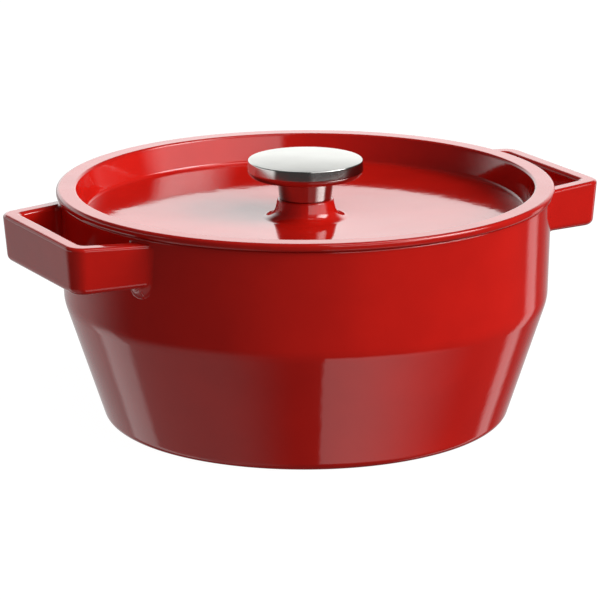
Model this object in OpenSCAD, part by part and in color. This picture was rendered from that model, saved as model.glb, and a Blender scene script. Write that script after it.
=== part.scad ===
// Round enamelled cast-iron casserole with loop handles, a recessed lid and a steel knob.
// Millimetres. The origin is on the table under the pot's axis, +Z is up and the two
// handles lie along X. The flat under the lid's edge seats on the pot's rim.

/* [Pot] */
// Outer diameter of the pot at its rim
pot_d = 245.2; // [200:0.2:300]
// Height of the rim above the table
pot_h = 114.5; // [90:0.5:150]
// Outer diameter of the cone where it reaches the table, before rounding
base_d = 201.4; // [150:0.2:204]
// Height of the bend between the cone and the upright band
bend_z = 62.5; // [35:0.5:64]
// How much narrower the band is, on the radius, at the bend than at the rim
band_taper = 1.4; // [0:0.1:4]
// Radius that softens the bend
bend_round = 21; // [5:1:40]
// Radius of the pot's lower outside edge
base_round = 6; // [2:0.5:10]
// Thickness of the pot's wall, measured level
wall = 3.6; // [2.5:0.1:6]
// Thickness of the pot's floor
floor_t = 4.4; // [3:0.1:8]
// Inside radius between the floor and the wall
inner_round = 12; // [4:1:20]
// Radius of the rim's outer and inner edges
rim_round = 0.9; // [0.3:0.1:1.2]
// Width of the ring that the pot stands on, to the start of the lower edge's radius
foot_w = 10; // [5:1:30]
// Depth of the hollow inside the standing ring
foot_hollow = 0.8; // [0.3:0.1:1.5]

/* [Handles] */
// How far each handle stands out from the pot's rim
handle_reach = 25.4; // [18:0.2:40]
// Width of a handle's outer bar across its corners
handle_w = 85.6; // [60:0.2:110]
// Angle by which each arm spreads towards the pot
handle_splay = 14.6; // [0:0.2:25]
// Thickness of the bar and the arms, seen from above
handle_t = 9; // [6:0.1:12]
// Height of a handle at its outer bar
handle_h = 24; // [14:0.5:30]
// Depth of the handles' top face below the rim
handle_drop = 2.5; // [1:0.1:10]
// Draft angle of the handles' outer faces, which lean in towards the bottom
handle_draft = 4.5; // [0:0.5:8]
// Angle by which the underside rises towards the pot
handle_rise = 3.5; // [0:0.5:6]
// Radius of the outer corners, seen from above
handle_round = 8; // [3:0.5:14]
// Radius of the finger gap's corners, seen from above
gap_round = 3.5; // [1:0.5:8]

/* [Lid] */
// How far the lid's edge stands out past the pot's rim
lid_overhang = 1.5; // [0:0.1:5]
// Thickness of the lid's edge
lid_t = 4; // [3:0.1:7]
// Width of the flat ring around the lid's hollow
lid_ring_w = 9.9; // [8.5:0.1:20]
// Depth of the lid's hollow below its flat ring, at the foot of the hollow's wall
lid_hollow = 14.4; // [8:0.1:24]
// How much further the hollow's floor falls towards the boss
lid_dish = 2.8; // [0:0.1:5]
// How much the hollow narrows, on the radius, from its top to its floor
lid_slope = 3.4; // [1:0.1:10]
// Radius between the hollow's wall and its floor
hollow_round = 2.2; // [1:0.1:5]
// Thickness of the lid's floor
lid_floor_t = 3.6; // [2.5:0.1:6]
// Level gap between the lid's spigot and the inside of the pot
spigot_gap = 1.2; // [0.5:0.1:3]
// Height of the upright part of the spigot
spigot_h = 3; // [1.5:0.5:5]
// Radius under the lid, between its floor and its spigot
spigot_round = 4; // [1:0.5:6]
// Radius of the lid's visible edges
lid_edge_round = 1.5; // [0.5:0.1:1.8]
// Diameter of the boss under the knob
boss_d = 28.4; // [20:0.2:40]
// Height of the boss above the floor at its foot
boss_h = 9.7; // [8.5:0.1:14]
// Radius of the boss's upper edge
boss_round = 0.8; // [0.3:0.1:1.5]
// Radius that flares the boss into the floor
boss_flare = 6.5; // [1:0.5:7]
// Number of rings of basting nubs under the lid
nub_rings = 3; // [2:1:5]
// From the foot of the boss to the first ring of nubs
nub_in = 14.5; // [6:0.5:30]
// From the edge of the dished plate to the last ring of nubs
nub_out = 20.6; // [6:0.1:40]
// Distance between neighbouring nubs on a ring
nub_pitch = 30; // [18:1:60]
// Diameter of a nub
nub_d = 7; // [4:0.5:10]
// Height of a nub
nub_h = 2; // [1:0.1:2.5]

/* [Knob] */
// Diameter of the knob
knob_d = 58; // [44:0.5:76]
// Height of the stem between the boss and the knob's underside
stem_h = 11.5; // [6:0.1:20]
// Diameter of the stem where it meets the knob
stem_top_d = 28.8; // [20:0.2:36]
// Diameter of the stem where it stands on the boss
stem_base_d = 26; // [18:0.2:28]
// Height of the knob's lower plate, from its underside to the seam
plate_h = 3.6; // [3:0.1:6]
// Height of the knob's cap at its edge, from the seam up
cap_h = 4.6; // [4.2:0.1:8]
// Rise of the cap's crown above its edge
cap_crown = 1.2; // [0:0.1:4]
// Radius of the knob's upper edge
cap_round = 3.6; // [2:0.1:4]
// Radius of the knob's lower edge
under_round = 2.4; // [1.6:0.1:2.8]
// Sheet thickness of the cap and of the lower plate
skin = 1.3; // [0.8:0.1:1.5]
// Width of the shoulder on the stem that carries the lower plate
shoulder_w = 2; // [1:0.1:4]
// Height of the stem's head above the shoulder, riveted over the plate
rivet_h = 3; // [1.6:0.1:4]
// Interference of the stem in the lower plate, on the radius
plate_press = 0.03; // [0.01:0.01:0.05]

/* [Fixing] */
// Outer diameter of the screw's thread
screw_d = 6; // [4:0.5:8]
// Depth of the thread, cut into the insert by the screw
thread_depth = 0.35; // [0.2:0.05:0.5]
// Level gap around the screw in the lid and the washers
screw_gap = 0.3; // [0.2:0.05:0.6]
// Diameter of the screw's head
head_d = 12; // [9:0.5:15]
// Height of the screw's head
head_h = 3.6; // [2.5:0.1:5]
// Width of the cross slots in the head
slot_w = 1.4; // [0.8:0.1:1.8]
// Depth of the cross slots in the head
slot_depth = 2; // [1:0.1:2.2]
// Diameter of the flat washer
washer_d = 18; // [14:0.5:24]
// Thickness of the flat washer
washer_t = 1.4; // [0.8:0.1:2.5]
// Diameter of the split spring washer
spring_d = 11; // [9:0.5:14]
// Thickness of the split spring washer
spring_t = 1.6; // [1:0.1:2.5]
// Diameter of the threaded insert in the stem
insert_d = 14; // [11:0.5:16]
// Length of the threaded insert
insert_l = 11; // [7:0.5:13]
// Length of the insert that the screw doesn't reach
insert_blind = 2; // [1:0.5:3]
// Interference of the insert in the stem, on the radius
insert_press = 0.03; // [0.01:0.01:0.05]

/* [Hidden] */
$fn = 96;

enamel = "firebrick";
steel = "silver";
reach_past = 1;               // length by which a cutting body passes the face it cuts

rim_r = pot_d / 2;
bend_r = rim_r - band_taper;
base_r = base_d / 2;
cone_slope = (bend_r - base_r) / bend_z;

lid_r = rim_r + lid_overhang;
lid_top = pot_h + lid_t;
hollow_r = lid_r - lid_ring_w;
hollow_floor_r = hollow_r - lid_slope;
hollow_z = lid_top - lid_hollow;
dish_z = hollow_z - lid_dish;
lid_under = dish_z - lid_floor_t;
spigot_r = inner_r(pot_h - spigot_h) - spigot_gap;
boss_top = dish_z + boss_h;
plate_r = hollow_floor_r - hollow_round;      // the lid's casting is three simple solids: its rim,
boss_r = boss_d / 2 + boss_flare + 0.8;       // its dished plate and its boss, which meet at these radii
under_edge = [hollow_floor_r + lid_floor_t, hollow_z - lid_floor_t];

screw_hole_r = screw_d / 2 + screw_gap;
washer_z = lid_under - washer_t;
spring_z = washer_z - spring_t;
head_z = spring_z - head_h;
screw_top = boss_top + insert_l - insert_blind;
knob_under = boss_top + stem_h;
seam_z = knob_under + plate_h;
cap_edge_z = seam_z + cap_h;
rivet_r = stem_top_d / 2 - shoulder_w;

handle_x = rim_r + handle_reach;
handle_top = pot_h - handle_drop;
root_x = bend_r * 0.7;        // the outlines run this far in, inside the pot's wall

// Height of the lid's underside at radius r, outside its flat middle.
function nub_ring(k) = boss_r + nub_in + (plate_r - nub_out - boss_r - nub_in) * k / (nub_rings - 1);
function under_z(r) = lid_under + (under_edge.y - lid_under) * (r - boss_r) / (under_edge.x - boss_r);

// Inside radius of the pot's band at height z.
function inner_r(z) = bend_r + (rim_r - bend_r) * (z - bend_z) / (pot_h - bend_z) - wall;

function unit(v) = v / norm(v);

// Arc of radius r that rounds the corner p between the neighbours a and b.
function rounded(a, p, b, r, steps = 6) =
    let (u = unit(a - p), v = unit(b - p), half = acos(u * v) / 2,
         centre = p + unit(u + v) * r / sin(half),
         s = p + u * r / tan(half) - centre,
         e = p + v * r / tan(half) - centre,
         from = atan2(s.y, s.x), turn = atan2(s.x * e.y - s.y * e.x, s * e))
    [for (i = [0:steps]) centre + r * [cos(from + turn * i / steps), sin(from + turn * i / steps)]];

// A large block whose one face passes through p, faces along azimuth and leans in below p.
module trimmed_by(p, azimuth, lean) {
    size = 4 * handle_x;
    translate(p) rotate([0, 0, azimuth]) rotate([0, lean, 0])
        translate([-size, -size / 2, -size / 2]) cube(size);
}

// ---- pot ----

module pot_outside() {
    foot = [base_r, 0];
    bend = [bend_r, bend_z];
    rim = [rim_r, pot_h];
    rotate_extrude() polygon(concat([[0, 0]],
        rounded([0, 0], foot, bend, base_round),
        rounded(foot, bend, rim, bend_round),
        rounded(bend, rim, [0, pot_h], rim_round),
        [[0, pot_h]]));
}

module pot_inside() {
    corner = [base_r + cone_slope * floor_t - wall, floor_t];
    bend = [bend_r - wall, bend_z];
    mouth = [inner_r(pot_h), pot_h];
    lip = mouth + [rim_round, 0];
    rotate_extrude() polygon(concat([[0, floor_t]],
        rounded([0, floor_t], corner, bend, inner_round),
        rounded(corner, bend, mouth, bend_round),
        [mouth - [0, rim_round], lip, lip + [0, reach_past], [0, pot_h + reach_past]]));
}

module pot_body() {
    foot_r = base_r - base_round - foot_w;
    color(enamel) difference() {
        pot_outside();
        pot_inside();
        translate([0, 0, -reach_past]) cylinder(r = foot_r, h = foot_hollow + reach_past);
    }
}

// ---- handles ----

function flare_at(x) = handle_w / 2 + (handle_x - x) * tan(handle_splay);

module handle_outline() {
    a = [handle_x, -handle_w / 2];
    b = [handle_x, handle_w / 2];
    near = [root_x, -flare_at(root_x)];
    far = [root_x, flare_at(root_x)];
    polygon(concat([near], rounded(near, a, b, handle_round), rounded(a, b, far, handle_round), [far]));
}

module gap_outline() {
    inset = handle_t / cos(handle_splay);
    x = handle_x - handle_t;
    a = [x, -flare_at(x) + inset];
    b = [x, flare_at(x) - inset];
    near = [root_x, -flare_at(root_x) + inset];
    far = [root_x, flare_at(root_x) - inset];
    polygon(concat([near], rounded(near, a, b, gap_round), rounded(a, b, far, gap_round), [far]));
}

module handle() {
    bottom = handle_top - handle_h;
    difference() {
        intersection() {
            translate([0, 0, bottom]) linear_extrude(handle_h) handle_outline();
            trimmed_by([handle_x, 0, handle_top], 0, handle_draft);
            for (side = [-1, 1])
                trimmed_by([handle_x, side * handle_w / 2, handle_top],
                           side * (90 - handle_splay), handle_draft);
            trimmed_by([handle_x, 0, bottom], 180, 90 - handle_rise);
        }
        translate([0, 0, bottom - reach_past]) linear_extrude(handle_h + 2 * reach_past) gap_outline();
        pot_outside();
    }
}

module right_handle() { color(enamel) handle(); }
module left_handle() { color(enamel) mirror([1, 0, 0]) handle(); }

// ---- lid ----

module lid_section() {
    boss = [boss_d / 2, boss_top];
    boss_foot = [boss_d / 2, dish_z];
    floor_edge = [hollow_floor_r, hollow_z];
    ring_in = [hollow_r, lid_top];
    edge_top = [lid_r, lid_top];
    edge_low = [lid_r, pot_h];
    seat = [spigot_r, pot_h];
    spigot = [spigot_r, pot_h - spigot_h];
    under_middle = [boss_r, lid_under];
    polygon(concat([[0, boss_top]],
        rounded([0, boss_top], boss, boss_foot, boss_round, 3),
        rounded(boss, boss_foot, floor_edge, boss_flare),
        rounded(boss_foot, floor_edge, ring_in, hollow_round),
        rounded(floor_edge, ring_in, edge_top, lid_edge_round, 4),
        rounded(ring_in, edge_top, edge_low, lid_edge_round, 4),
        rounded(edge_top, edge_low, seat, lid_edge_round / 2, 3),
        [seat, spigot],
        rounded(spigot, under_edge, under_middle, spigot_round),
        [under_middle, [0, lid_under]]));
}

// Low domes on rings under the lid, where steam gathers and drips.
module nubs() {
    ball_r = (nub_d * nub_d / 4 + nub_h * nub_h) / (2 * nub_h);
    for (k = [0 : nub_rings - 1]) {
        ring = nub_ring(k);
        count = round(2 * PI * ring / nub_pitch);
        for (i = [0:count - 1])
            rotate([0, 0, 360 * (i + 0.5) / count]) translate([ring, 0, under_z(ring) - nub_h + ball_r])
                intersection() {
                    sphere(r = ball_r, $fn = 32);
                    translate([0, 0, -ball_r]) cylinder(r = nub_d, h = nub_h + lid_floor_t / 4);
                }
    }
}

// A cylinder through the whole height of the lid.
module lid_core(r) {
    translate([0, 0, lid_under - reach_past]) cylinder(r = r, h = lid_top - lid_under + 2 * reach_past);
}

module lid_rim() {
    color(enamel) difference() {
        rotate_extrude() lid_section();
        lid_core(plate_r);
    }
}

module lid_plate() {
    color(enamel) difference() {
        union() {
            intersection() {
                rotate_extrude() lid_section();
                lid_core(plate_r);
            }
            nubs();
        }
        lid_core(boss_r);
    }
}

module lid_boss() {
    color(enamel) difference() {
        intersection() {
            rotate_extrude() lid_section();
            lid_core(boss_r);
        }
        lid_core(screw_hole_r);
    }
}

// ---- knob ----

// The cap's solid, or its inside when inset by the sheet thickness.
module cap_solid(inset = 0) {
    r = knob_d / 2 - inset;
    z = cap_edge_z - inset;
    crown = [for (k = [1:-0.25:0]) [k * (r - cap_round), z + cap_crown * (1 - k * k)]];
    rotate_extrude() polygon(concat([[0, seam_z], [r, seam_z]],
        rounded([r, seam_z], [r, z], [0, z], cap_round - inset / 2), crown));
}

module knob_cap() {
    color(steel) difference() {
        cap_solid();
        cap_solid(skin);
        translate([0, 0, seam_z - reach_past]) cylinder(r = knob_d / 2 - skin, h = reach_past + skin);
    }
}

// The lower plate's solid, or its inside when inset by the sheet thickness.
module plate_solid(inset = 0) {
    rim = [knob_d / 2 - inset, knob_under + inset];
    seam = [knob_d / 2 - inset, seam_z];
    rotate_extrude() polygon(concat([[0, rim.y]],
        rounded([0, rim.y], rim, seam, under_round - inset / 2, 4),
        [seam, [0, seam_z]]));
}

module knob_plate() {
    color(steel) difference() {
        plate_solid();
        plate_solid(skin);
        translate([0, 0, seam_z - skin / 2]) cylinder(r = knob_d / 2 - skin, h = skin);
        translate([0, 0, knob_under - reach_past])
            cylinder(r = rivet_r - plate_press, h = skin + 2 * reach_past);
    }
}

module knob_stem() {
    color(steel) difference() {
        union() {
            translate([0, 0, boss_top]) cylinder(d1 = stem_base_d, d2 = stem_top_d, h = stem_h);
            translate([0, 0, knob_under]) cylinder(r = rivet_r, h = rivet_h);
        }
        translate([0, 0, boss_top - reach_past])
            cylinder(r = insert_d / 2 - insert_press, h = insert_l + reach_past);
    }
}

module knob_insert() {
    color("gold") translate([0, 0, boss_top]) difference() {
        cylinder(d = insert_d, h = insert_l);
        translate([0, 0, -reach_past])
            cylinder(r = screw_d / 2 - thread_depth, h = insert_l - insert_blind + reach_past);
    }
}

// ---- fixing under the lid ----

module washer(d, t) {
    difference() {
        cylinder(d = d, h = t);
        translate([0, 0, -reach_past]) cylinder(r = screw_hole_r, h = t + 2 * reach_past);
    }
}

module flat_washer() {
    color(steel) translate([0, 0, washer_z]) washer(washer_d, washer_t);
}

module spring_washer() {
    split = spring_t * 0.6;
    color(steel) translate([0, 0, spring_z]) difference() {
        washer(spring_d, spring_t);
        translate([0, -split / 2, -reach_past]) cube([spring_d, split, spring_t + 2 * reach_past]);
    }
}

module knob_screw() {
    dome_r = (head_d * head_d / 4 + head_h * head_h) / (2 * head_h) * 1.25;
    color(steel) difference() {
        union() {
            translate([0, 0, head_z]) intersection() {
                cylinder(d = head_d, h = head_h);
                translate([0, 0, dome_r]) sphere(r = dome_r);
            }
            translate([0, 0, spring_z]) cylinder(d = screw_d, h = screw_top - spring_z);
        }
        for (turn = [0, 90])
            rotate([0, 0, turn]) translate([-head_d / 4, -slot_w / 2, head_z - reach_past])
                cube([head_d / 2, slot_w, slot_depth + reach_past]);
    }
}

pot_body();
left_handle();
right_handle();
lid_rim();
lid_plate();
lid_boss();
knob_cap();
knob_plate();
knob_stem();
knob_insert();
knob_screw();
spring_washer();
flat_washer();
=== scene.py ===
import math

import bmesh
import bpy
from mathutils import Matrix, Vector


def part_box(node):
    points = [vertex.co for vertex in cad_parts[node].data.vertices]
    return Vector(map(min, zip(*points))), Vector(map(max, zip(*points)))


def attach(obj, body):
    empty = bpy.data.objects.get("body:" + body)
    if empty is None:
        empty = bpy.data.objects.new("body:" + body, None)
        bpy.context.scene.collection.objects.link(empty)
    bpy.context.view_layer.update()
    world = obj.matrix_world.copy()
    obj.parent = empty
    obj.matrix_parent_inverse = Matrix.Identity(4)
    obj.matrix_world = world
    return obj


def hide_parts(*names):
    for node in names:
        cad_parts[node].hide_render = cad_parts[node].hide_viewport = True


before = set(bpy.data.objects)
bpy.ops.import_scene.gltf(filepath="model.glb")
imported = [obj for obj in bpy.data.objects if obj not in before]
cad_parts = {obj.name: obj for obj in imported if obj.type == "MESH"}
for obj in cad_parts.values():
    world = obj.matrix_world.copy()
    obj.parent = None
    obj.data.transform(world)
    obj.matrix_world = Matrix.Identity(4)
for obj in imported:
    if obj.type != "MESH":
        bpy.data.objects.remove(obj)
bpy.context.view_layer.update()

# Shapes are drawn in millimetres and turned into metres when they become meshes.

mm = 0.001
turnsRound = 288          # columns round a turned piece
supportGap = 0.35         # extra points this close to an arc keep the shading flat beside it
tightRadius = 3.0         # convex edges tighter than this carry thinner enamel
arcStep = math.radians(9)


def boxOf(node):
    low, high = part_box(node)
    return low / mm, high / mm


def cornerArc(before, corner, after, radius, steps=None):
    u = (before - corner).normalized()
    v = (after - corner).normalized()
    half = u.angle(v) / 2
    centre = corner + (u + v).normalized() * (radius / math.sin(half))
    start = corner + u * (radius / math.tan(half)) - centre
    end = corner + v * (radius / math.tan(half)) - centre
    steps = steps or max(3, round((math.pi - 2 * half) / arcStep))
    return [centre + start.slerp(end, k / steps) * radius for k in range(steps + 1)]


def between(a, b, spacing, pieces=None):
    length = (b - a).length
    if pieces is None and length < 4 * supportGap:
        return []
    inner = length - 2 * supportGap
    pieces = pieces or max(1, math.ceil(inner / spacing))
    return [a.lerp(b, (supportGap + inner * k / pieces) / length) for k in range(pieces + 1)]


def outline(corners, closed=False, spacing=6.0, arcSteps=None, pieces=None):
    # corners are (across, up, radius) going anticlockwise; returns (point, thin) pairs
    spots = [Vector(corner[:2]) for corner in corners]
    count = len(spots)
    runs = []
    for k, spot in enumerate(spots):
        radius = corners[k][2]
        before = spots[k - 1]
        after = spots[(k + 1) % count]
        isEnd = not closed and k in (0, count - 1)
        if radius == 0 or isEnd:
            runs.append([(spot, 0.0)])
            continue
        turnsLeft = (spot - before).cross(after - spot) > 0
        thin = 1.0 if turnsLeft and radius < tightRadius else 0.0
        runs.append([(p, thin) for p in cornerArc(before, spot, after, radius, arcSteps)])
    line = []
    for k, run in enumerate(runs):
        line += run
        if closed or k < count - 1:
            following = runs[(k + 1) % count]
            line += [(p, 0.0) for p in between(run[-1][0], following[0][0], spacing, pieces)]
    return line


def addPiece(name, shell):
    bmesh.ops.recalc_face_normals(shell, faces=shell.faces)
    for face in shell.faces:
        face.smooth = True
    mesh = bpy.data.meshes.new(name)
    shell.to_mesh(mesh)
    shell.free()
    piece = bpy.data.objects.new(name, mesh)
    bpy.context.scene.collection.objects.link(piece)
    return piece


def joinRings(shell, rings, closed=False):
    pairs = list(zip(rings, rings[1:]))
    if closed:
        pairs.append((rings[-1], rings[0]))
    for low, high in pairs:
        for k in range(max(len(low), len(high))):
            corners = [low[k % len(low)], low[(k + 1) % len(low)],
                       high[(k + 1) % len(high)], high[k % len(high)]]
            shell.faces.new(list(dict.fromkeys(corners)))


def lathe(name, line, closed=False, turns=turnsRound, shape=None):
    # shape may move a point after it is turned
    shell = bmesh.new()
    thinLayer = shell.verts.layers.float.new("thin")
    rings = []
    for spot, thin in line:
        ring = []
        for k in range(turns if spot.x > 1e-6 else 1):
            angle = 2 * math.pi * k / turns
            place = Vector((spot.x * math.cos(angle), spot.x * math.sin(angle), spot.y))
            if shape:
                place = shape(place)
            vertex = shell.verts.new(place * mm)
            vertex[thinLayer] = thin
            ring.append(vertex)
        rings.append(ring)
    joinRings(shell, rings, closed)
    return addPiece(name, shell)


def smoothStep(value):
    value = min(1.0, max(0.0, value))
    return value * value * (3 - 2 * value)


class Signal:             # a socket that can be added, taken away and multiplied
    def __init__(self, nodes, socket):
        self.nodes = nodes
        self.socket = socket

    def combine(self, operation, a, b):
        return self.nodes.add("Math", {"operation": operation}, {0: a, 1: b})

    def __add__(self, other):
        return self.combine("ADD", self, other)

    def __radd__(self, other):
        return self.combine("ADD", other, self)

    def __sub__(self, other):
        return self.combine("SUBTRACT", self, other)

    def __rsub__(self, other):
        return self.combine("SUBTRACT", other, self)

    def __mul__(self, other):
        return self.combine("MULTIPLY", self, other)

    def __rmul__(self, other):
        return self.combine("MULTIPLY", other, self)


class Nodes:              # the node tree of one material or of the world
    def __init__(self, owner):
        owner.use_nodes = True
        self.tree = owner.node_tree
        self.tree.nodes.clear()

    def add(self, kind, settings=None, inputs=None, out=0):
        made = self.tree.nodes.new("ShaderNode" + kind)
        for key, value in (settings or {}).items():
            setattr(made, key, value)
        for key, value in (inputs or {}).items():
            if isinstance(value, Signal):
                self.tree.links.new(value.socket, made.inputs[key])
            else:
                made.inputs[key].default_value = value
        return Signal(self, made.outputs[out])

    def noise(self, place, scale, detail):
        return self.add("TexNoise", {}, {"Vector": place, "Scale": scale, "Detail": detail})

    def mixColour(self, factor, first, second):
        return self.add("Mix", {"data_type": "RGBA"}, {0: factor, 6: first, 7: second}, 2)

    def bump(self, height, distance, strength):
        return self.add("Bump", {}, {"Strength": strength, "Distance": distance, "Height": height})

    def finishWith(self, shader, output="OutputMaterial"):
        made = self.tree.nodes.new("ShaderNode" + output)
        self.tree.links.new(shader.socket, made.inputs["Surface"])


def newMaterial(name):
    material = bpy.data.materials.new(name)
    return material, Nodes(material)


def colour(red, green, blue):
    return (red, green, blue, 1.0)


redGlaze = {
    "glaze": colour(0.56, 0.0100, 0.0055),
    "deep": colour(0.49, 0.0085, 0.0050),       # where the glaze lies a little thicker
    "edge": colour(0.34, 0.0080, 0.0055),       # dark ground coat showing through at tight edges
    "edgeCover": 0.1,         # how much of it shows everywhere, and how much more in patches
    "edgePatches": 0.4,
    "gloss": 0.045,           # least roughness
    "glossSpread": 0.05,
    "ripple": 0.00016,
    "cloudScale": 26,
    "patchScale": 240,
    "waveScale": 34,
    "peelScale": 210,
    "peelShare": 0.16,
    "glossScale": 60,
}


def makeRedEnamel():
    material, nodes = newMaterial("redEnamel")
    place = nodes.add("TexCoord", {}, {}, "Object")
    clouds = nodes.noise(place, redGlaze["cloudScale"], 3)
    cloudMask = nodes.add("MapRange", {}, {"Value": clouds, "From Min": 0.35, "From Max": 0.7})
    base = nodes.mixColour(cloudMask, redGlaze["glaze"], redGlaze["deep"])
    thin = nodes.add("Attribute", {"attribute_name": "thin"}, {}, "Fac")
    ragged = redGlaze["edgeCover"] + redGlaze["edgePatches"] * nodes.noise(
        place, redGlaze["patchScale"], 2)
    base = nodes.mixColour(thin * ragged, base, redGlaze["edge"])
    peel = redGlaze["peelShare"] * nodes.noise(place, redGlaze["peelScale"], 1)
    ripple = nodes.noise(place, redGlaze["waveScale"], 1) + peel
    smudges = nodes.noise(place, redGlaze["glossScale"], 4)
    shader = nodes.add("BsdfPrincipled", {}, {
        "Base Color": base,
        "Roughness": redGlaze["gloss"] + redGlaze["glossSpread"] * smudges,
        "IOR": 1.52,
        "Normal": nodes.bump(ripple, redGlaze["ripple"], 1.0),
    })
    nodes.finishWith(shader)
    return material


blackGlaze = {
    "glaze": colour(0.010, 0.0095, 0.0095),
    "speck": colour(0.030, 0.029, 0.028),
    "satin": 0.30,
    "satinSpread": 0.16,
    "grain": 0.00006,
    "speckScale": 900.0,
    "speckShare": 0.6,
    "grainScale": 700,
    "rollScale": 60,
    "rollShare": 1.5,
    "satinScale": 45,
}


def makeBlackEnamel():
    material, nodes = newMaterial("blackEnamel")
    place = nodes.add("TexCoord", {}, {}, "Object")
    specks = nodes.add("TexVoronoi", {}, {"Vector": place, "Scale": blackGlaze["speckScale"]}, "Distance")
    speckMask = nodes.add("MapRange", {}, {"Value": specks, "From Min": 0.22, "From Max": 0.08})
    base = nodes.mixColour(speckMask * blackGlaze["speckShare"], blackGlaze["glaze"],
                           blackGlaze["speck"])
    roll = blackGlaze["rollShare"] * nodes.noise(place, blackGlaze["rollScale"], 2)
    grain = nodes.noise(place, blackGlaze["grainScale"], 3) + roll
    smudges = nodes.noise(place, blackGlaze["satinScale"], 4)
    shader = nodes.add("BsdfPrincipled", {}, {
        "Base Color": base,
        "Roughness": blackGlaze["satin"] + blackGlaze["satinSpread"] * smudges,
        "IOR": 1.5,
        "Normal": nodes.bump(grain, blackGlaze["grain"], 1.0),
    })
    nodes.finishWith(shader)
    return material


steelLook = {
    "bright": colour(0.53, 0.525, 0.51),
    "dull": colour(0.43, 0.425, 0.41),
    # The lapped top's colour is lighter than the steel's own: the finish is real, but the extra lightness
    # is painted sheen standing in for the light the top catches.
    "lappedPaintedSheen": colour(0.80, 0.81, 0.77),
    "polish": 0.10,           # roughness of the buffed side
    "satin": 0.30,            # roughness of the lapped top
    "grooves": 0.000012,
    "grooveScale": 2600.0,
    "smearScale": 55,
    "smearShade": 0.25,
    "smearDull": 0.05,
    "grooveDull": 0.08,
}


def makeKnobSteel():
    material, nodes = newMaterial("knobSteel")
    place = nodes.add("TexCoord", {}, {}, "Object")
    flat = nodes.add("VectorMath", {"operation": "MULTIPLY"}, {0: place, 1: (1.0, 1.0, 0.0)})
    radius = nodes.add("VectorMath", {"operation": "LENGTH"}, {0: flat}, "Value")
    rings = nodes.add("TexNoise", {"noise_dimensions": "1D"},
                      {"W": radius, "Scale": steelLook["grooveScale"], "Detail": 3.0})
    smears = nodes.noise(place, steelLook["smearScale"], 3)
    satin = nodes.add("Attribute", {"attribute_name": "satin"}, {}, "Fac")
    base = nodes.mixColour(smears, steelLook["bright"], steelLook["dull"])
    # Where the top is lapped it takes the lighter colour: a real satin finish, with painted sheen for the
    # light that falls on the top.
    lappedPaintedSheen = satin * (1.0 - steelLook["smearShade"] * smears)
    base = nodes.mixColour(lappedPaintedSheen, base, steelLook["lappedPaintedSheen"])
    roughness = (steelLook["polish"] + satin * (steelLook["satin"] - steelLook["polish"])
                 + steelLook["smearDull"] * smears + satin * steelLook["grooveDull"] * rings)
    shader = nodes.add("BsdfPrincipled", {}, {
        "Base Color": base,
        "Metallic": 1.0,
        "Roughness": roughness,
        "Normal": nodes.bump(rings * satin, steelLook["grooves"], 0.6),
    })
    nodes.finishWith(shader)
    return material


platedLook = {"patchScale": 260, "patchDull": 0.18, "scratchScale": 1500, "scratch": 0.00002}


def makeMetal(name, bright, dull, roughness):
    material, nodes = newMaterial(name)
    place = nodes.add("TexCoord", {}, {}, "Object")
    patches = nodes.noise(place, platedLook["patchScale"], 4)
    base = nodes.mixColour(patches, bright, dull)
    shader = nodes.add("BsdfPrincipled", {}, {
        "Base Color": base,
        "Metallic": 1.0,
        "Roughness": roughness + platedLook["patchDull"] * patches,
        "Normal": nodes.bump(nodes.noise(place, platedLook["scratchScale"], 2),
                             platedLook["scratch"], 0.5),
    })
    nodes.finishWith(shader)
    return material


redEnamel = makeRedEnamel()
blackEnamel = makeBlackEnamel()
knobSteel = makeKnobSteel()
fixingSteel = makeMetal("fixingSteel", colour(0.56, 0.57, 0.58), colour(0.40, 0.41, 0.42), 0.22)
insertBrass = makeMetal("insertBrass", colour(0.72, 0.50, 0.22), colour(0.55, 0.36, 0.15), 0.26)
print("finishes made")


def fit(piece, material, slot, body, *nodes):
    piece.data.materials.append(material)
    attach(piece, body)
    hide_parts(*nodes)


def paintSatin(piece, share):
    # share gives how lapped the steel is at a point, from 0 to 1; it also places the painted sheen of the
    # lighter top colour
    layer = piece.data.attributes.new("satin", "FLOAT", "POINT")
    layer.data.foreach_set("value", [share(vertex.co / mm) for vertex in piece.data.vertices])


pot = {
    "baseR": 100.7,           # where the cone would meet the table
    "baseRound": 6.0,
    "footW": 10.0,
    "footHollow": 0.8,
    "footEdge": 0.4,
    "bendZ": 62.5,
    "bendIn": 1.4,            # the band is this much narrower at the bend
    "bendRound": 21.0,
    "wall": 3.6,
    "floor": 4.4,
    "innerRound": 12.0,
    "rimRound": 1.0,
    "lining": 0.35,           # thickness of the black enamel
    "liningBack": 0.15,       # how far the lining's hidden side sinks into the iron
    "redOverRim": 1.2,        # width of the rim's top that is still red
    "seamRound": 0.12,        # where the two enamels meet
}
potLow, potHigh = boxOf("pot_body")
rimR = potHigh.x
rimZ = potHigh.z
bendR = rimR - pot["bendIn"]


def bandR(z):
    return bendR + pot["bendIn"] * (z - pot["bendZ"]) / (rimZ - pot["bendZ"])


def potCavity(sunk):
    # corners from the rim's top to the middle of the floor, sunk this far into the iron
    slope = (bendR - pot["baseR"]) / pot["bendZ"]
    cavityZ = pot["floor"] - sunk
    cornerR = pot["baseR"] + slope * cavityZ - pot["wall"] + sunk * math.hypot(1, slope)
    return [(rimR - pot["wall"] + sunk, rimZ - sunk, pot["rimRound"]),
            (bendR - pot["wall"] + sunk, pot["bendZ"], pot["bendRound"]),
            (cornerR, cavityZ, pot["innerRound"] + sunk),
            (0, cavityZ, 0)]


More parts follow.
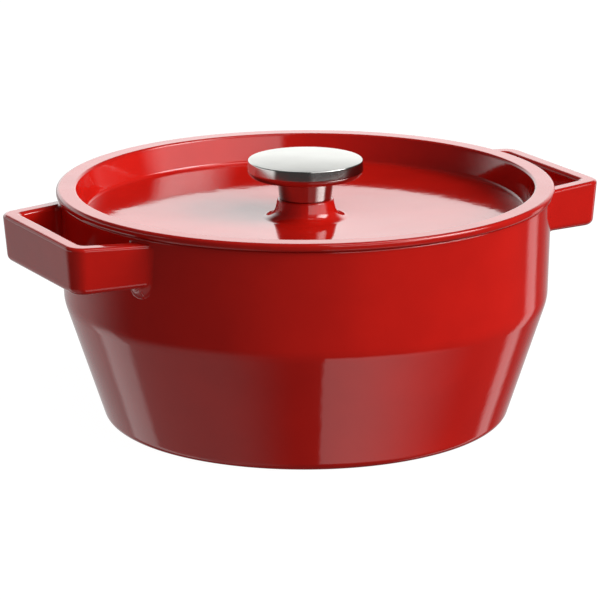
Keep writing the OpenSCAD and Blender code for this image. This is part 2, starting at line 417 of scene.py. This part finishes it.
def makePot():
    footR = pot["baseR"] - pot["baseRound"] - pot["footW"]
    lipR = rimR - pot["redOverRim"]
    casting = lathe("potCasting", outline([
        (0, pot["footHollow"], 0),
        (footR, pot["footHollow"], 0.3),
        (footR, 0, pot["footEdge"]),
        (pot["baseR"], 0, pot["baseRound"]),
        (bendR, pot["bendZ"], pot["bendRound"]),
        (rimR, rimZ, pot["rimRound"]),
        (lipR, rimZ, pot["seamRound"]),
        (lipR, rimZ - pot["lining"], 0)] + potCavity(pot["lining"])))
    fit(casting, redEnamel, "red_enamel", "pot", "pot_body")
    back = pot["lining"] + pot["liningBack"]
    hidden = potCavity(back)[::-1]
    lining = lathe("potLining", outline(
        hidden + [(lipR, rimZ - back, 0), (lipR, rimZ, pot["seamRound"])] + potCavity(0)))
    fit(lining, blackEnamel, "black_enamel", "pot")


makePot()
print("pot made")

handle = {
    "halfW": 42.8,            # half the width of the outer bar across its corners
    "thick": 9.0,
    "splay": math.radians(14.6),
    "rise": math.radians(3.5),
    "outerRound": 9.5,        # corners seen from above
    "gapRound": 3.5,
    "lean": 1.9,              # how far the outer face leans in at the bottom
    "gapLean": 0.6,
    "topOut": 1.7,            # edge radii of the section
    "topIn": 2.4,
    "lowIn": 2.8,
    "lowOut": 3.4,
    "armEndX": 123.5,         # where the straight arms stop and the roots begin
    "rootSide": 4.5,          # root radii on the outside, in the finger gap and underneath
    "rootGap": 2.4,
    "rootLow": 5.0,
    "rootTop": 1.2,
    "rootSteps": 8,
    "rootSkirt": 0.8,         # how far the root runs on along the wall before it sinks in
    "rootSink": 0.06,
}
handleLow, handleHigh = boxOf("right_handle")
handleX = handleHigh.x
handleTop = handleHigh.z
handleH = handleHigh.z - handleLow.z


def handleRail(x, halfW, radius):
    # one face of the handle seen from above, from the far arm round the bar to the near arm
    reach = halfW + (x - handle["armEndX"]) * math.tan(handle["splay"])
    far = Vector((handle["armEndX"], reach))
    near = Vector((handle["armEndX"], -reach))
    a = Vector((x, halfW))
    b = Vector((x, -halfW))
    first = cornerArc(far, a, b, radius, 10)
    second = cornerArc(a, b, near, radius, 10)
    return (between(far, first[0], 0, 5) + first + between(first[-1], second[0], 0, 12)
            + second + between(second[-1], near, 0, 5))


def handleSection(height):
    thick = handle["thick"]
    return outline([(0, 0, handle["topOut"]),
                    (handle["lean"], -height, handle["lowOut"]),
                    (thick - handle["gapLean"], -height, handle["lowIn"]),
                    (thick, 0, handle["topIn"])], closed=True, arcSteps=6, pieces=3)


def handleRoot(last, previous):
    # rings that flare an arm's end out onto the pot's wall and sink into it
    count = len(last)
    steps = handle["rootSteps"]
    skirt = handle["rootSkirt"]
    far = 30                  # longer than any root radius needs
    rails = []
    for k, spot in enumerate(last):
        along = (spot - previous[k]).normalized()
        outward = along.cross(last[(k + 1) % count] - last[k - 1]).normalized()
        if outward.dot(spot - sum(last, Vector()) / count) < 0:
            outward = -outward
        meet = spot.copy()
        for turn in range(8):      # closes in on where the arm's line meets the wall
            normal = Vector((meet.x, meet.y, 0)).normalized()
            gap = meet.xy.length - bandR(meet.z)
            meet = meet - along * (gap / along.dot(normal))
        across = (outward - along * (outward.dot(normal) / along.dot(normal))).normalized()
        inGap = outward.dot(Vector((0, -spot.y, 0))) > 0
        side = handle["rootGap"] if inGap else handle["rootSide"]
        if outward.z > 0:
            radius = min(side, handle["rootTop"] / max(outward.z, 0.01))
        else:
            radius = side + (handle["rootLow"] - side) * outward.z ** 2
        arc = cornerArc(meet - along * far, meet, meet + across * far, radius, steps)
        rail = [spot.lerp(arc[0], 0.5), arc[0] - (arc[0] - spot).normalized() * supportGap]
        for step, point in enumerate(arc):
            slide = (point - meet).dot(Vector((-normal.y, normal.x, 0)))
            sink = slide ** 2 / (2 * rimR) + handle["rootSink"] * (step / steps) ** 2
            rail.append(point - normal * sink)
        rail.append(rail[-1] + across * skirt * 0.625 - normal * skirt * 0.1)
        rail.append(rail[-1] + across * skirt * 0.375 - normal * skirt * 1.25)
        rails.append(rail)
    return [list(ring) for ring in zip(*rails)]


def makeHandle(name, side, node):
    outer = handleRail(handleX, handle["halfW"], handle["outerRound"])
    inset = handle["thick"] / math.cos(handle["splay"])
    gapX = handleX - handle["thick"]
    gapHalf = handle["halfW"] + handle["thick"] * math.tan(handle["splay"]) - inset
    inner = handleRail(gapX, gapHalf, handle["gapRound"])
    rings = []
    for out, into in zip(outer, inner):
        ring = []
        middleX = (out.x + into.x) / 2
        height = handleH - max(0.0, handleX - middleX) * math.tan(handle["rise"])
        section = handleSection(height)
        for spot, thin in section:
            plan = out.lerp(into, spot.x / handle["thick"])
            ring.append(Vector((plan.x, plan.y, handleTop + spot.y)))
        rings.append(ring)
    start = handleRoot(rings[0], rings[1])
    end = handleRoot(rings[-1], rings[-2])
    rings = start[::-1] + rings + end
    shell = bmesh.new()
    thinLayer = shell.verts.layers.float.new("thin")
    thins = [thin for spot, thin in handleSection(handleH)]
    made = []
    for ring in rings:
        row = []
        for spot, thin in zip(ring, thins):
            vertex = shell.verts.new(Vector((side * spot.x, spot.y, spot.z)) * mm)
            vertex[thinLayer] = thin
            row.append(vertex)
        made.append(row)
    caps = []
    for ring in (rings[0], rings[-1]):
        middle = sum(ring, Vector()) / len(ring)
        caps.append([shell.verts.new(Vector((side * middle.x, middle.y, middle.z)) * mm)])
    joinRings(shell, [caps[0]] + made + [caps[1]])
    fit(addPiece(name, shell), redEnamel, "red_enamel", "pot", node)


makeHandle("rightHandle", 1, "right_handle")
makeHandle("leftHandle", -1, "left_handle")
print("handles made")

lid = {
    "ringW": 9.9,             # flat ring round the hollow
    "slope": 3.4,             # how much the hollow narrows to its floor
    "hollow": 14.4,
    "hollowRound": 2.2,
    "floor": 3.6,             # thickness of the floor, which falls towards the boss
    "edgeRound": 1.4,
    "outerRound": 1.6,
    "lowerRound": 1.5,
    "boss": 13.9,             # radius of the boss at its top
    "bossFoot": 16.4,
    "bossRound": 0.9,
    "bossFlare": 6.2,
    "flatR": 21.5,            # the middle of the underside is flat out to here
    "spigotRound": 4.0,
    "bore": 3.3,
    "spigotGap": 1.2,
    "spigotH": 3.0,
    "spigotTip": 1.0,
    "spigotRoot": 0.5,
    "lining": 0.35,
    "liningBack": 0.15,
    "redUnderEdge": 1.7,      # width of the underside's edge that is still red
    "seamRound": 0.12,
    "liningEdge": 0.1,
    "liningSpacing": 1.4,     # distance between the lining's rings, close enough for its nubs
}
nubs = {"rings": (36, 62, 88), "pitch": 30, "radius": 4.2, "height": 2.0}
lidLow, lidHigh = boxOf("lid_rim")
bossLow, bossHigh = boxOf("lid_boss")
lidR = lidHigh.x
lidTop = lidHigh.z
floorZ = lidTop - lid["hollow"]
underZ = bossLow.z
hollowR = lidR - lid["ringW"]
hollowFloorR = hollowR - lid["slope"]
underEdgeR = hollowFloorR + lid["floor"]


def lidUnderside(sunk):
    # corners from the bore outwards along the underside, sunk this far into the iron
    spigotR = bandR(rimZ - lid["spigotH"]) - pot["wall"] - lid["spigotGap"] - sunk
    lipR = lidR - lid["redUnderEdge"]
    return [(lid["bore"], underZ + sunk, 0),
            (lid["flatR"], underZ + sunk, 0),
            (underEdgeR - sunk / 2, floorZ - lid["floor"] + sunk, lid["spigotRound"]),
            (spigotR, rimZ - lid["spigotH"] + sunk / 2, lid["spigotTip"]),
            (spigotR, rimZ + sunk, lid["spigotRoot"]),
            (lipR, rimZ + sunk, 0)]


def nubDrop(place):
    # low domes hang under the lid on three rings
    radius = place.xy.length
    angle = math.atan2(place.y, place.x)
    for ring in nubs["rings"]:
        if abs(radius - ring) < nubs["radius"]:
            count = round(2 * math.pi * ring / nubs["pitch"])
            sector = 2 * math.pi / count
            nearest = (math.floor(angle / sector) + 0.5) * sector
            centre = Vector((ring * math.cos(nearest), ring * math.sin(nearest)))
            away = (place.xy - centre).length / nubs["radius"]
            if away < 1:
                return nubs["height"] * (1 - away ** 2) ** 1.5
    return 0.0


def dropNubs(place):
    share = (place.xy.length - lid["flatR"]) / (underEdgeR - lid["flatR"])
    level = underZ + max(0.0, share) * (floorZ - lid["floor"] - underZ)
    if abs(place.z - level) < 1e-3:
        return place - Vector((0, 0, nubDrop(place)))
    return place


def makeLid():
    lipR = lidR - lid["redUnderEdge"]
    casting = lathe("lidCasting", outline(lidUnderside(lid["lining"]) + [
        (lipR, rimZ, lid["seamRound"]),
        (lidR, rimZ, lid["lowerRound"]),
        (lidR, lidTop, lid["outerRound"]),
        (hollowR, lidTop, lid["edgeRound"]),
        (hollowFloorR, floorZ, lid["hollowRound"]),
        (lid["bossFoot"], underZ + lid["floor"], lid["bossFlare"]),
        (lid["boss"], bossHigh.z, lid["bossRound"]),
        (lid["bore"], bossHigh.z, 0)], closed=True), closed=True)
    fit(casting, redEnamel, "red_enamel", "lid", "lid_rim", "lid_plate", "lid_boss")
    face = lidUnderside(0)
    hidden = lidUnderside(lid["lining"] + lid["liningBack"])[::-1]
    corners = face[:-1] + [(lipR, rimZ, lid["liningEdge"])] + hidden
    lining = lathe("lidLining", outline(corners, closed=True, spacing=lid["liningSpacing"]),
                   closed=True, shape=dropNubs)
    fit(lining, blackEnamel, "black_enamel", "lid")


makeLid()
print("lid made")

knob = {
    "crown": 1.2,             # how far the top is domed
    "edgeRound": 0.45,        # crisp upper edge
    "bulge": 0.50,            # how much wider the side is at its foot than at the upper edge
    "underRound": 2.1,
    "underIn": 2.2,           # how far the foot of the side curls in, and over what height
    "underUp": 2.4,
    "joinR": 21.0,            # where the cap meets the stem's plate, underneath
    "joinGap": 0.1,
    "joinRound": 0.15,
    "joinDepth": 1.2,
    "neckTop": 14.5,
    "neckBase": 13.0,
    "neckFillet": 1.6,
    "satinDrop": 0.25,        # the lapped finish and its painted sheen start this far below the edge
    "satinFade": 0.3,
    "baseRound": 0.8,
}
capLow, capHigh = boxOf("knob_cap")
plateLow, plateHigh = boxOf("knob_plate")
knobR = capHigh.x
crownZ = capHigh.z
knobEdgeZ = crownZ - knob["crown"]
knobUnder = plateLow.z
stemLow, stemHigh = boxOf("knob_stem")


def makeKnob():
    topR = knobR - knob["bulge"]
    crown = [(topR * k / 8, crownZ - knob["crown"] * (k / 8) ** 2, 0) for k in range(7, -1, -1)]
    cap = lathe("knobCap", outline([
        (0, knobUnder + knob["joinDepth"] + knob["joinGap"], 0),
        (knob["joinR"], knobUnder + knob["joinDepth"] + knob["joinGap"], 0.2),
        (knob["joinR"], knobUnder, knob["joinRound"]),
        (knobR - knob["underIn"], knobUnder, knob["underRound"]),
        (knobR, knobUnder + knob["underUp"], knob["underRound"]),
        (topR, knobEdgeZ, knob["edgeRound"])] + crown))
    satinZ = knobEdgeZ - knob["satinDrop"]
    paintSatin(cap, lambda spot: smoothStep((spot.z - satinZ) / knob["satinFade"]))
    fit(cap, knobSteel, "knob_steel", "lid", "knob_cap")
    stem = lathe("knobStem", outline([
        (0, stemLow.z, 0),
        (knob["neckBase"], stemLow.z, knob["baseRound"]),
        (knob["neckTop"], knobUnder, knob["neckFillet"]),
        (knob["joinR"] - knob["joinGap"], knobUnder, knob["joinRound"]),
        (knob["joinR"] - knob["joinGap"], knobUnder + knob["joinDepth"], 0),
        (0, knobUnder + knob["joinDepth"], 0)]))
    paintSatin(stem, lambda spot: 0.0)
    fit(stem, knobSteel, "knob_steel", "lid", "knob_plate", "knob_stem")


makeKnob()
print("knob made")

fixing = {
    "shankR": 3.0,
    "shankRound": 0.5,
    "headRound": 0.5,
    "domeSink": 1.0,          # the head's rim is this far above the middle of its dome
    "crossReach": 3.2,
    "crossHalf": 0.75,
    "crossDepth": 1.9,
    "crossTaper": 0.35,       # share of the depth lost at the ends of the cross
    "crossGap": 0.6,          # nothing this close to the washers is pressed in
    "wallSlant": 0.35,
    "washerRound": 0.35,
    "springRound": 0.3,
    "springSplit": math.radians(14),
    "springTwist": 0.25,      # how far the split ends stand apart
    "springSteps": 72,
}
screwLow, screwHigh = boxOf("knob_screw")
springLow, springHigh = boxOf("spring_washer")
washerLow, washerHigh = boxOf("flat_washer")
headR = screwHigh.x


def pressCross(place):
    if place.z > springLow.z - fixing["crossGap"]:
        return place
    far = max(abs(place.x), abs(place.y))
    near = min(abs(place.x), abs(place.y))
    inward = min(fixing["crossReach"] - far, fixing["crossHalf"] - near)
    depth = fixing["crossDepth"] * smoothStep(inward / fixing["wallSlant"])
    return place + Vector((0, 0, depth * (1 - fixing["crossTaper"] * far / fixing["crossReach"])))


def makeScrew():
    dome = [(headR * k / 6, screwLow.z + fixing["domeSink"] * (k / 6) ** 2, 0) for k in range(6)]
    screw = lathe("knobScrew", outline(dome + [
        (headR, screwLow.z + fixing["domeSink"], fixing["headRound"]),
        (headR, springLow.z, 0.3),
        (fixing["shankR"], springLow.z, 0.2),
        (fixing["shankR"], screwHigh.z, fixing["shankRound"]),
        (0, screwHigh.z, 0)], spacing=0.22), turns=144, shape=pressCross)
    fit(screw, fixingSteel, "fixing_steel", "lid", "knob_screw")


def makeFlatWasher():
    low, high = washerLow.z, washerHigh.z
    radius = fixing["washerRound"]
    washer = lathe("flatWasher", outline([
        (lid["bore"], low, radius / 2),
        (washerHigh.x, low, radius),
        (washerHigh.x, high, radius),
        (lid["bore"], high, radius / 2)], closed=True), closed=True, turns=120)
    fit(washer, fixingSteel, "fixing_steel", "lid", "flat_washer")


def makeSpringWasher():
    outerR = springHigh.y
    half = (springHigh.z - springLow.z) / 2
    radius = fixing["springRound"]
    thick = half - fixing["springTwist"] / 4
    section = [spot for spot, thin in outline([
        (lid["bore"], -thick, radius),
        (outerR, -thick, radius),
        (outerR, thick, radius),
        (lid["bore"], thick, radius)], closed=True, arcSteps=4, pieces=2)]
    shell = bmesh.new()
    rings = []
    steps = fixing["springSteps"]
    for k in range(steps + 1):
        share = k / steps
        angle = fixing["springSplit"] / 2 + (2 * math.pi - fixing["springSplit"]) * share
        lift = springLow.z + half + fixing["springTwist"] * (share - 0.5) / 2
        rings.append([shell.verts.new(Vector((spot.x * math.cos(angle), spot.x * math.sin(angle),
                                              spot.y + lift)) * mm) for spot in section])
    for ring in (rings[0], rings[-1]):
        shell.faces.new(ring)
    joinRings(shell, rings)
    washer = addPiece("springWasher", shell)
    fit(washer, fixingSteel, "fixing_steel", "lid", "spring_washer")


makeScrew()
makeFlatWasher()
makeSpringWasher()
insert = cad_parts["knob_insert"]
insert.data.materials.clear()
insert.data.materials.append(insertBrass)
print("fixing made")

shot = {
    "azimuth": math.radians(-28.17),
    "elevation": math.radians(15.185),
    "roll": math.radians(-0.237),
    "distance": 1.7845,
    "lens": 212.9,
    "aside": -0.00292,
    "aimZ": 0.05814,
}
toRight = Vector((math.cos(shot["azimuth"]), math.sin(shot["azimuth"]), 0))
toBack = Vector((-math.sin(shot["azimuth"]), math.cos(shot["azimuth"]), 0))


def makeCamera():
    backward = Vector((0, 0, math.sin(shot["elevation"]))) - toBack * math.cos(shot["elevation"])
    upward = backward.cross(toRight)
    side = toRight * math.cos(shot["roll"]) + upward * math.sin(shot["roll"])
    upward = backward.cross(side)
    camera = bpy.data.objects.new("camera", bpy.data.cameras.new("camera"))
    bpy.context.scene.collection.objects.link(camera)
    camera.data.lens = shot["lens"]
    camera.data.sensor_width = 36.0
    camera.data.clip_start = 0.05
    camera.data.clip_end = 50.0
    target = toRight * shot["aside"] + Vector((0, 0, shot["aimZ"]))
    place = target + backward * shot["distance"]
    matrix = camera.matrix_world.copy()
    for row in range(3):
        matrix[row] = (side[row], upward[row], backward[row], place[row])
    camera.matrix_world = matrix
    bpy.context.scene.camera = camera


makeCamera()

floorLook = {
    "half": 6.0,
    "white": colour(0.86, 0.86, 0.86),
    "paper": colour(0.88, 0.88, 0.88),
    "grainScale": 3,
    "glow": 0.90,             # share of its light that it gives off by itself
    "strength": 1.10,
    "drop": 0.0002,
}

# Each lamp covers a range of bearings, from straight behind the pot (0) round to the right
# (90) or left (-90), and a range of heights, in degrees. soft says how far its edges fade, at
# the low bearing, at the high bearing and at both heights.
lamps = {
    "backdrop": {"bearings": (-52, 30), "heights": (1, 23), "soft": (26, 20, 8), "power": 1.85},
    "backLow": {"bearings": (-72, 22), "heights": (-35, 0), "soft": (20, 16, 8), "power": 0.5},
    "rightBox": {"bearings": (88, 126), "heights": (21, 44), "soft": (8, 14, 3), "power": 12.5},
    "frontBox": {"bearings": (138, 168), "heights": (21, 38), "soft": (8, 2, 3), "power": 0.4},
    "lowBox": {"bearings": (94, 168), "heights": (1, 21), "soft": (10, 2, 3), "power": 2.2},
    "leftCard": {"bearings": (-116, -55), "heights": (-8, 4), "soft": (5, 12, 3), "power": 1.4},
    "leftStrip": {"bearings": (-71, -50), "heights": (-62, -24), "soft": (3, 3, 4), "power": 0.7},
    "rightStrip": {"bearings": (41, 52), "heights": (-62, -8), "soft": (3, 3, 4), "power": 0.9},
    "highBox": {"bearings": (70, 168), "heights": (54, 72), "soft": (6, 2, 2), "power": 3.0},
    "boxInTable": {"bearings": (112, 170), "heights": (-58, -38), "soft": (40, 1, 3), "power": 1.1},
    "leftTable": {"bearings": (-150, -50), "heights": (-75, -30), "soft": (25, 25, 8), "power": 0.36},
    "fill": {"bearings": (-200, 200), "heights": (-95, 95), "soft": (1, 1, 1), "power": 0.07},
}


def makeFloor():
    shell = bmesh.new()
    bmesh.ops.create_grid(shell, x_segments=24, y_segments=24, size=floorLook["half"])
    floor = addPiece("floor", shell)
    floor.location.z = -floorLook["drop"]
    material, nodes = newMaterial("paleFloor")
    place = nodes.add("TexCoord", {}, {}, "Object")
    paper = nodes.mixColour(nodes.noise(place, floorLook["grainScale"], 2),
                            floorLook["white"], floorLook["paper"])
    surface = nodes.add("BsdfDiffuse", {}, {"Color": paper})
    glow = nodes.add("Emission", {}, {"Color": colour(1, 1, 1), "Strength": floorLook["strength"]})
    nodes.finishWith(nodes.add("MixShader", {}, {0: floorLook["glow"], 1: surface, 2: glow}))
    material.cycles.emission_sampling = "NONE"
    floor.data.materials.append(material)
    floor.visible_glossy = False
    floor.visible_diffuse = False
    floor.visible_shadow = False


def inRange(nodes, value, low, high, lowSoft, highSoft):
    smooth = {"interpolation_type": "SMOOTHSTEP"}
    rise = nodes.add("MapRange", smooth,
                     {"Value": value, "From Min": low - lowSoft, "From Max": low + lowSoft})
    fall = nodes.add("MapRange", smooth,
                     {"Value": value, "From Min": high + highSoft, "From Max": high - highSoft})
    return rise * fall


def makeStudio():
    world = bpy.data.worlds.new("studio")
    bpy.context.scene.world = world
    nodes = Nodes(world)
    way = nodes.add("TexCoord", {}, {}, "Generated")
    across = nodes.add("VectorMath", {"operation": "DOT_PRODUCT"}, {0: way, 1: toRight}, "Value")
    behind = nodes.add("VectorMath", {"operation": "DOT_PRODUCT"}, {0: way, 1: toBack}, "Value")
    upward = nodes.add("SeparateXYZ", {}, {0: way}, "Z")
    perRadian = 180 / math.pi
    bearing = nodes.add("Math", {"operation": "ARCTAN2"}, {0: across, 1: behind}) * perRadian
    height = nodes.add("Math", {"operation": "ARCSINE"}, {0: upward}) * perRadian
    total = 0.0
    for lamp in lamps.values():
        lowSoft, highSoft, heightSoft = lamp["soft"]
        spread = inRange(nodes, bearing, *lamp["bearings"], lowSoft, highSoft)
        rise = inRange(nodes, height, *lamp["heights"], heightSoft, heightSoft)
        total = total + spread * rise * lamp["power"]
    studio = nodes.add("Background", {}, {"Color": colour(1, 1, 1), "Strength": total})
    white = nodes.add("Background", {}, {"Color": colour(1, 1, 1), "Strength": 1.0})
    seen = nodes.add("LightPath", {}, {}, "Is Camera Ray")
    nodes.finishWith(nodes.add("MixShader", {}, {0: seen, 1: studio, 2: white}), "OutputWorld")


makeFloor()
makeStudio()
bpy.context.scene.view_settings.view_transform = "Standard"
print("studio made")
